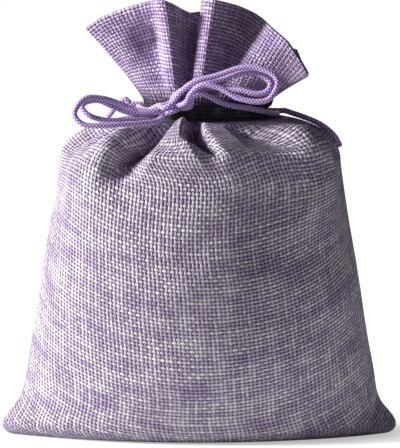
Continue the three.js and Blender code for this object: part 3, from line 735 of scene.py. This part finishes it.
def tail_route(side, z, rise, rests):
    """From the slit, lifted clear of it, down over the shoulder."""
    start = neck_point(side * EXIT_ANGLE, EXIT_OUT + CLEARANCE, z)
    leave = neck_point(side * EXIT_ANGLE, EXIT_OUT + CORD / 2, z)
    lift = neck_point(side * EXIT_ANGLE, EXIT_OUT + 1.5 * CORD, z + rise)
    lying = [resting_point(step, side * degrees, CORD / 2 + 0.5 * CLEARANCE) for step, degrees in rests]
    return np.vstack([start, leave, lift, *lying])


def clear_of_knot(path):
    """The stretch of a path that starts and ends a little inside the knot."""
    far = np.linalg.norm(path - KNOT, axis=1) > KNOT_REACH
    return path[np.argmax(far):len(far) - np.argmax(far[::-1])]


# Materials
def feed(tree, socket, value):
    """Links a socket to another node's output, or sets it to a plain value."""
    if isinstance(value, bpy.types.NodeSocket):
        tree.links.new(value, socket)
    elif socket.type == "RGBA":
        socket.default_value = (*value, 1.0)
    else:
        socket.default_value = value


def wire(tree, kind, sockets, **settings):
    """The outputs of a new node of this kind, with its sockets fed by name or number."""
    made = tree.nodes.new(kind)
    for key, value in settings.items():
        setattr(made, key, value)
    for key, value in sockets.items():
        feed(tree, made.inputs[key], value)
    return made.outputs


def maths(tree, operation, *values):
    return wire(tree, "ShaderNodeMath", dict(enumerate(values)), operation=operation)[0]


def vector_maths(tree, operation, *values):
    return wire(tree, "ShaderNodeVectorMath", dict(enumerate(values)), operation=operation)


def scaled(tree, colour, scale):
    return wire(tree, "ShaderNodeVectorMath", {0: colour, "Scale": scale}, operation="SCALE")[0]


def mix_colour(tree, share, a, b, blend="MIX"):
    return wire(tree, "ShaderNodeMix", {0: share, 6: a, 7: b}, data_type="RGBA", blend_type=blend)[2]


def ranged(tree, value, low, high, to_low=0.0, to_high=1.0):
    return wire(tree, "ShaderNodeMapRange", {
        "Value": value, "From Min": low, "From Max": high, "To Min": to_low, "To Max": to_high})[0]


def noise(tree, place, scale, detail):
    return wire(tree, "ShaderNodeTexNoise", {"Vector": place, "Scale": scale, "Detail": detail},
                noise_dimensions="2D")


# Weave: scale of the threads' drift, the change of tone from thread to thread and along one, how far a thread
# bends over and under, and how its cover falls off at its edge
DRIFT_SCALE = 0.35
THREAD_APART = 7.31
THREAD_RUN = 0.11
FIRST_SEED = 3.7
SECOND_SEED = 91.3
THREAD_BEND = 0.3
COVER_EDGE = 0.55
WEAVE_INPUTS = [("Place", "Vector", (0, 0, 0)), ("Thread width", "Float", 0.4), ("Slub", "Float", 0.25),
                ("Waver", "Float", 0.1)]
WEAVE_OUTPUTS = ["Height", "Cover", "Second on top", "First tone", "Second tone"]


def plain_weave_group():
    """Over-and-under threads at a place counted in threads: which thread shows, its height, and the gaps."""
    group = bpy.data.node_groups.new("Plain weave", "ShaderNodeTree")
    for label, kind, value in WEAVE_INPUTS:
        socket = group.interface.new_socket(name=label, in_out="INPUT", socket_type="NodeSocket" + kind)
        socket.default_value = value
    for label in WEAVE_OUTPUTS:
        group.interface.new_socket(name=label, in_out="OUTPUT", socket_type="NodeSocketFloat")
    given = group.nodes.new("NodeGroupInput").outputs

    def calc(operation, *values):
        return maths(group, operation, *values)

    drift = noise(group, given["Place"], DRIFT_SCALE, detail=1.0)
    apart = wire(group, "ShaderNodeSeparateColor", {"Color": drift["Color"]})
    place = wire(group, "ShaderNodeSeparateXYZ", {"Vector": given["Place"]})
    x, y = (calc("MULTIPLY_ADD", calc("SUBTRACT", apart[k], 0.5), given["Waver"], place[k]) for k in (0, 1))
    first_number, second_number = calc("FLOOR", x), calc("FLOOR", y)
    first_off, second_off = (calc("SUBTRACT", calc("FRACT", axis), 0.5) for axis in (x, y))
    odd = calc("FLOORED_MODULO", calc("ADD", first_number, second_number), 2.0)
    over = calc("SUBTRACT", 1.0, calc("MULTIPLY", odd, 2.0))
    under = calc("MULTIPLY", over, -1.0)

    def thread(number, along, offset, across, side, seed):
        """Tone, section and height of the threads of one direction."""
        row = calc("MULTIPLY_ADD", number, THREAD_APART, seed)
        spot = wire(group, "ShaderNodeCombineXYZ", {"X": row, "Y": calc("MULTIPLY", along, THREAD_RUN)})[0]
        tone = noise(group, spot, scale=1.0, detail=2.0)[0]
        lump = calc("MULTIPLY_ADD", calc("SUBTRACT", tone, 0.5), given["Slub"], 1.0)
        far = calc("DIVIDE", offset, calc("MULTIPLY", given["Thread width"], lump))
        section = calc("SQRT", calc("MAXIMUM", calc("SUBTRACT", 1.0, calc("MULTIPLY", far, far)), 0.0))
        bend = calc("MULTIPLY", side, calc("COSINE", calc("MULTIPLY", across, math.pi)))
        height = calc("MULTIPLY", section, calc("MULTIPLY_ADD", bend, THREAD_BEND, 1 - THREAD_BEND))
        return tone, section, height

    first_tone, first, high_first = thread(first_number, y, first_off, second_off, over, FIRST_SEED)
    second_tone, second, high_second = thread(second_number, x, second_off, first_off, under, SECOND_SEED)
    found = {
        "Height": calc("MAXIMUM", high_first, high_second),
        "Cover": ranged(group, calc("MAXIMUM", first, second), 0.0, COVER_EDGE),
        "Second on top": calc("GREATER_THAN", high_second, high_first),
        "First tone": first_tone,
        "Second tone": second_tone,
    }
    wire(group, "NodeGroupOutput", found)
    return group


PLAIN_WEAVE = plain_weave_group()


def woven(tree, place, width, slub, waver):
    """The weave's values at a place counted in threads."""
    return wire(tree, "ShaderNodeGroup", {
        "Place": place, "Thread width": width, "Slub": slub, "Waver": waver}, node_tree=PLAIN_WEAVE)


def new_material(name, roughness, sheen):
    material = bpy.data.materials.new(name)
    material.use_nodes = True
    shader = material.node_tree.nodes["Principled BSDF"]
    shader.inputs["Roughness"].default_value = roughness
    shader.inputs["Sheen Weight"].default_value = sheen
    shader.inputs["Sheen Roughness"].default_value = 0.5
    shader.inputs["Specular IOR Level"].default_value = 0.2
    return material, material.node_tree, shader


def surface(tree, shader, colour, height, strength, distance, **settings):
    """Feeds the shader its colour and a fine relief."""
    relief = {"Strength": strength, "Distance": distance, "Height": height}
    bump = wire(tree, "ShaderNodeBump", relief, **settings)
    feed(tree, shader.inputs["Base Color"], colour)
    feed(tree, shader.inputs["Normal"], bump[0])


# Tones of the cloth, and its grain in metres: where painted shade darkens the casing and the deepest folds,
# and where a violet painted shade lies in the folds and towards the neck and ruffle
WEFT_TONES = ((0.52, 0.43, 0.62), (0.93, 0.89, 0.95))
WARP_TONES = ((0.46, 0.37, 0.55), (0.80, 0.74, 0.84))
TONE_RANGE = (0.36, 0.66)
STREAK_TONE = (0.36, 0.25, 0.50)
STREAK_STRETCH = (0.08, 0.26, 1.0)
STREAK_RANGE = (0.5, 0.7, 0.0, 0.5)
# painted shade on the threads: darker towards their edges and a little lighter on their crowns
PAINTED_CROWN_SHADE = (0.3, 0.96, 0.42, 1.1)
# the gaps between the threads, painted dark as the shade that lies in them
GAP_PAINTED_SHADE = (0.07, 0.04, 0.10)
# a violet painted shade in the folds and towards the neck and ruffle
VIOLET_PAINTED_SHADE = (0.88, 0.77, 0.97)
VIOLET_SHADE_UP = (-14 * MM, 8 * MM)
VIOLET_SHADE_TUCK = (1.0, 6.0)
# painted shade: the casing and the deepest folds are darkened to this share
PAINTED_SHADE_SCALE = 0.1
PAINTED_SHADE_TUCK = (7.0, 14.0)
PAINTED_SHADE_FROM = (-2.5 * MM, 0.5 * MM)
PAINTED_SHADE_TO = ((CASING_HEIGHT + 6) * MM, CASING_HEIGHT * MM)


def lilac_cloth():
    material, tree, shader = new_material("lilac_open_weave", roughness=0.9, sheen=0.12)
    grain = wire(tree, "ShaderNodeUVMap", {}, uv_map="grain")[0]
    place = vector_maths(tree, "DIVIDE", grain, (WARP_PITCH * MM, WEFT_PITCH * MM, 1.0))[0]
    weave = woven(tree, place, width=0.39, slub=0.5, waver=0.22)
    stretched = vector_maths(tree, "MULTIPLY", place, STREAK_STRETCH)[0]
    streaks = noise(tree, stretched, scale=1.0, detail=3.0)[0]
    weft = mix_colour(tree, ranged(tree, weave["Second tone"], *TONE_RANGE), *WEFT_TONES)
    warp = mix_colour(tree, ranged(tree, weave["First tone"], *TONE_RANGE), *WARP_TONES)
    thread = mix_colour(tree, weave["Second on top"], warp, weft)
    thread = mix_colour(tree, ranged(tree, streaks, *STREAK_RANGE), thread, STREAK_TONE)
    # painted shade and light on the threads, set by their height
    crown_shaded = scaled(tree, thread, ranged(tree, weave["Height"], *PAINTED_CROWN_SHADE))
    # the gaps between threads painted dark as shade
    colour = mix_colour(tree, weave["Cover"], GAP_PAINTED_SHADE, crown_shaded)
    up = wire(tree, "ShaderNodeSeparateXYZ", {"Vector": grain})[1]
    tucked = wire(tree, "ShaderNodeAttribute", {}, attribute_name="tucked")["Fac"]
    # violet painted shade, by height on the cloth and by fold depth
    violet_shade_mask = maths(tree, "MAXIMUM", ranged(tree, up, *VIOLET_SHADE_UP), ranged(tree, tucked, *VIOLET_SHADE_TUCK))
    violet_shaded = mix_colour(tree, violet_shade_mask, colour, VIOLET_PAINTED_SHADE, "MULTIPLY")
    # painted shade over the casing and in the deepest folds
    casing_shade_mask = maths(tree, "MINIMUM", ranged(tree, up, *PAINTED_SHADE_FROM), ranged(tree, up, *PAINTED_SHADE_TO))
    painted_shade_mask = maths(tree, "MAXIMUM", casing_shade_mask, ranged(tree, tucked, *PAINTED_SHADE_TUCK))
    shaded = mix_colour(tree, painted_shade_mask, violet_shaded, scaled(tree, violet_shaded, PAINTED_SHADE_SCALE))
    surface(tree, shader, shaded, weave["Height"], strength=1.0, distance=0.7 * MM)
    return material


# Tones of the braid between its strands, and a painted highlight on the crowns of its strands
BRAID_TONES = ((0.23, 0.09, 0.47), (0.31, 0.15, 0.58))
BRAID_TONE_RANGE = (0.35, 0.65)
BRAID_CROWN_HIGHLIGHT = (0.94, 0.82, 1.0)
BRAID_HIGHLIGHT_RANGE = (0.66, 0.95)


def violet_braid():
    material, tree, shader = new_material("violet_braid", roughness=0.45, sheen=0.25)
    grain = wire(tree, "ShaderNodeUVMap", {}, uv_map="grain")[0]
    around, along, _ = wire(tree, "ShaderNodeSeparateXYZ", {"Vector": grain})
    place = wire(tree, "ShaderNodeCombineXYZ", {
        "X": maths(tree, "ADD", around, along), "Y": maths(tree, "SUBTRACT", around, along)})[0]
    weave = woven(tree, place, width=0.5, slub=0.15, waver=0.06)
    deep = mix_colour(tree, ranged(tree, weave["Second tone"], *BRAID_TONE_RANGE), *BRAID_TONES)
    # the strands' crowns lightened as a painted highlight
    colour = mix_colour(tree, ranged(tree, weave["Height"], *BRAID_HIGHLIGHT_RANGE), deep, BRAID_CROWN_HIGHLIGHT)
    surface(tree, shader, colour, weave["Height"], strength=0.6, distance=0.2 * MM)
    return material


# Tones of the dried buds, the painted shade between them, and how many there are to a metre
BUD_TONES = ((0.16, 0.11, 0.25), (0.34, 0.29, 0.40))
BUD_GAP_SHADE = (0.06, 0.045, 0.07)
BUD_EDGE = (0.2, 0.7)
BUDS_PER_METRE = 420.0


def dried_buds():
    material, tree, shader = new_material("dried_buds", roughness=0.95, sheen=0.1)
    spot = wire(tree, "ShaderNodeTexCoord", {})["Object"]
    buds = wire(tree, "ShaderNodeTexVoronoi", {"Vector": spot, "Scale": BUDS_PER_METRE})
    pick = wire(tree, "ShaderNodeSeparateColor", {"Color": buds["Color"]})[0]
    tint = mix_colour(tree, pick, *BUD_TONES)
    # painted shade in the gaps between the buds
    colour = mix_colour(tree, ranged(tree, buds["Distance"], *BUD_EDGE), tint, BUD_GAP_SHADE)
    surface(tree, shader, colour, buds["Distance"], strength=0.8, distance=0.8 * MM, invert=True)
    return material


def dress(thing, material):
    thing.data.materials.clear()
    thing.data.materials.append(material)
    return thing


LILAC_CLOTH = lilac_cloth()
VIOLET_BRAID = violet_braid()
DRIED_BUDS = dried_buds()

# Camera: the photograph's height in pixels, a pixel's size at the pouch in millimetres, and the camera's own
# distance, aim and reach in metres
PHOTO_HEIGHT = 448
PIXEL = 0.32
CAMERA_DISTANCE = 3.0
CAMERA_TILT = math.radians(8)
CAMERA_AIM = np.array([0, 0, 67.6 * MM])
SENSOR = 36
CAMERA_REACH = 20


def camera():
    data = bpy.data.cameras.new("camera")
    thing = placed("camera", data)
    scene.camera = thing
    data.sensor_fit = "VERTICAL"
    data.sensor_height = SENSOR
    data.lens = SENSOR * CAMERA_DISTANCE / (PHOTO_HEIGHT * PIXEL * MM)
    data.clip_end = CAMERA_REACH
    away = np.array([0, -math.cos(CAMERA_TILT), math.sin(CAMERA_TILT)])
    thing.location = CAMERA_AIM + CAMERA_DISTANCE * away
    thing.rotation_euler = (math.pi / 2 - CAMERA_TILT, 0, 0)


# Light in metres and watts
KEY_PLACE = Vector((-0.78, -0.13, 0.42))
KEY_AIM = Vector((0, 0, 0.07))
KEY_SIZE = 0.2
KEY_POWER = 13.0
KEY_COLOUR = (1.0, 0.985, 0.96)
WHITE = (1, 1, 1)
ROOM_COLOUR = (0.95, 0.72, 1.0)
ROOM_LIGHT = 0.05


def key_lamp():
    data = bpy.data.lights.new("key_from_the_left", "AREA")
    data.shape = "DISK"
    data.size = KEY_SIZE
    data.energy = KEY_POWER
    data.color = KEY_COLOUR
    thing = placed("key_from_the_left", data)
    thing.location = KEY_PLACE
    thing.rotation_euler = (KEY_AIM - KEY_PLACE).to_track_quat("-Z", "Y").to_euler()


def white_room():
    """A room that the camera and reflections see as plain white, and that lights the pouch softly."""
    world = bpy.data.worlds.new("studio")
    scene.world = world
    world.use_nodes = True
    tree = world.node_tree
    tree.nodes.clear()
    path = wire(tree, "ShaderNodeLightPath", {})
    soft = wire(tree, "ShaderNodeBackground", {"Color": ROOM_COLOUR, "Strength": ROOM_LIGHT})[0]
    white = wire(tree, "ShaderNodeBackground", {"Color": WHITE, "Strength": 1.0})[0]
    seen = maths(tree, "MAXIMUM", path["Is Camera Ray"], path["Is Glossy Ray"])
    seen = maths(tree, "MAXIMUM", seen, path["Is Transmission Ray"])
    shown = wire(tree, "ShaderNodeMixShader", {0: seen, 1: soft, 2: white})[0]
    wire(tree, "ShaderNodeOutputWorld", {0: shown})


# Floor and the half axes of the pouch's footprint in millimetres; by the distance in footprints, how far the
# floor is lifted to white for the camera, less near the footprint as a painted contact shadow, and how
# brightly it glows onto the pouch
FLOOR_HALF = 2500
FLOOR_COLOUR = (0.6, 0.6, 0.61)
FOOTPRINT = (63.0, 26.0)
FLOOR_LIFT_AND_CONTACT_SHADOW = (0.95, 1.3, 0.45, 0.86)
# painted light: a ring of floor round the pouch glows onto it as a bounce
FLOOR_GLOW_RISE = (0.9, 1.6, 0.0, 0.6)
FLOOR_GLOW_FALL = (2.2, 4.6, 0.6, 0.0)


def white_floor():
    corners = [(FLOOR_HALF * x, FLOOR_HALF * y, 0) for x, y in ((-1, -1), (1, -1), (1, 1), (-1, 1))]
    floor = mesh_object("floor", corners, [(0, 1, 2, 3)])
    material = bpy.data.materials.new("white_floor")
    material.use_nodes = True
    tree = material.node_tree
    shader = tree.nodes["Principled BSDF"]
    feed(tree, shader.inputs["Base Color"], FLOOR_COLOUR)
    feed(tree, shader.inputs["Roughness"], 0.9)
    path = wire(tree, "ShaderNodeLightPath", {})
    spot = wire(tree, "ShaderNodeTexCoord", {})["Object"]
    spot = vector_maths(tree, "MULTIPLY", spot, (1 / (FOOTPRINT[0] * MM), 1 / (FOOTPRINT[1] * MM), 0))[0]
    far = vector_maths(tree, "LENGTH", spot)["Value"]
    # painted bounce light: the floor glows near the pouch for rays other than the camera's
    floor_glow = maths(tree, "MINIMUM", ranged(tree, far, *FLOOR_GLOW_RISE), ranged(tree, far, *FLOOR_GLOW_FALL))

    def with_glow(strength):
        glow = wire(tree, "ShaderNodeEmission", {"Color": WHITE, "Strength": strength})[0]
        return wire(tree, "ShaderNodeAddShader", {0: shader.outputs[0], 1: glow})[0]

    # for the camera the floor is lifted to white, less near the footprint as a painted contact shadow
    shown = wire(tree, "ShaderNodeMixShader", {
        0: path["Is Camera Ray"], 1: with_glow(floor_glow), 2: with_glow(ranged(tree, far, *FLOOR_LIFT_AND_CONTACT_SHADOW))})[0]
    feed(tree, tree.nodes["Material Output"].inputs[0], shown)
    floor.data.materials.append(material)


def bow_loops():
    for name, offsets in LOOPS.items():
        path = clear_of_knot(spline(np.vstack([KNOT, KNOT + offsets, KNOT])))
        thing = dress(braided_cord(name + "_braid", path), VIOLET_BRAID)
        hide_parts(name)
        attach(thing, "left_bow" if name.startswith("left") else "right_bow")


def drawstring(side, string, tail):
    """A drawstring, with the free end that it becomes once out of its slit."""
    path = clear_of_knot(spline(np.vstack([string, tail[1:]])))
    out = np.argmin(np.linalg.norm(path - tail[0], axis=1))
    held, before, after = (int(round(length / CORD_STEP)) for length in (HELD_END, BEND_BEFORE, BEND_AFTER))
    inside, outside = path[:out - held + 1], path[out - held:]
    drawn = dress(braided_cord(side + "_drawstring_braid", inside), VIOLET_BRAID)
    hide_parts(side + "_drawstring")
    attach(drawn, "pouch")
    free = dress(braided_cord(side + "_tail_braid", outside, cut_end=True), VIOLET_BRAID)
    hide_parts(side + "_tail")
    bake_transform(free)


def bow_knot():
    """The knot's wraps: turns of the same cord drawn tight about the roots of the loops."""
    along = unit(np.array(WRAP_AXIS))
    side = unit(np.cross(along, [0, 1, 0]))
    up = np.cross(side, along)
    angle = np.linspace(0, 2 * math.pi, WRAP_STEPS, endpoint=False)[:, None]
    wraps = []
    for offset, tilt, radius in WRAPS:
        turn = np.cos(angle) * side + WRAP_FLATTENED * np.sin(angle) * up
        path = KNOT + along * (offset + tilt * radius * np.cos(angle)) + radius * turn
        wraps.append(braided_cord("bow_knot_turn", path, closed=True))
    knot = wraps[0]
    with bpy.context.temp_override(
            active_object=knot, object=knot, selected_objects=wraps, selected_editable_objects=wraps):
        bpy.ops.object.join()
    knot.name = "bow_knot_wraps"
    dress(knot, VIOLET_BRAID)
    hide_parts("bow_knot")
    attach(knot, "pouch")


camera()
white_room()
key_lamp()
white_floor()

bow_loops()
drawstring("left", drawstring_route(-1, HIGH_RUN, KNOT + LEFT_LEAD),
           tail_route(-1, HIGH_RUN, LEFT_RISE, LEFT_RESTS))
lead_round = [neck_point(degrees, OUTSIDE, LOW_RUN + rise) for degrees, rise in RIGHT_LEAD_ROUND]
drawstring("right", drawstring_route(1, LOW_RUN, [*(KNOT + RIGHT_LEAD), *lead_round]),
           tail_route(1, LOW_RUN, RIGHT_RISE, RIGHT_RESTS))
bow_knot()

cloth = pouch_cloth()
dress(cloth, LILAC_CLOTH)
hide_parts("front_panel", "back_panel")
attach(cloth, "pouch")

heap = heap_of_buds()
dress(heap, DRIED_BUDS)
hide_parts("lavender_fill")
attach(heap, "pouch")
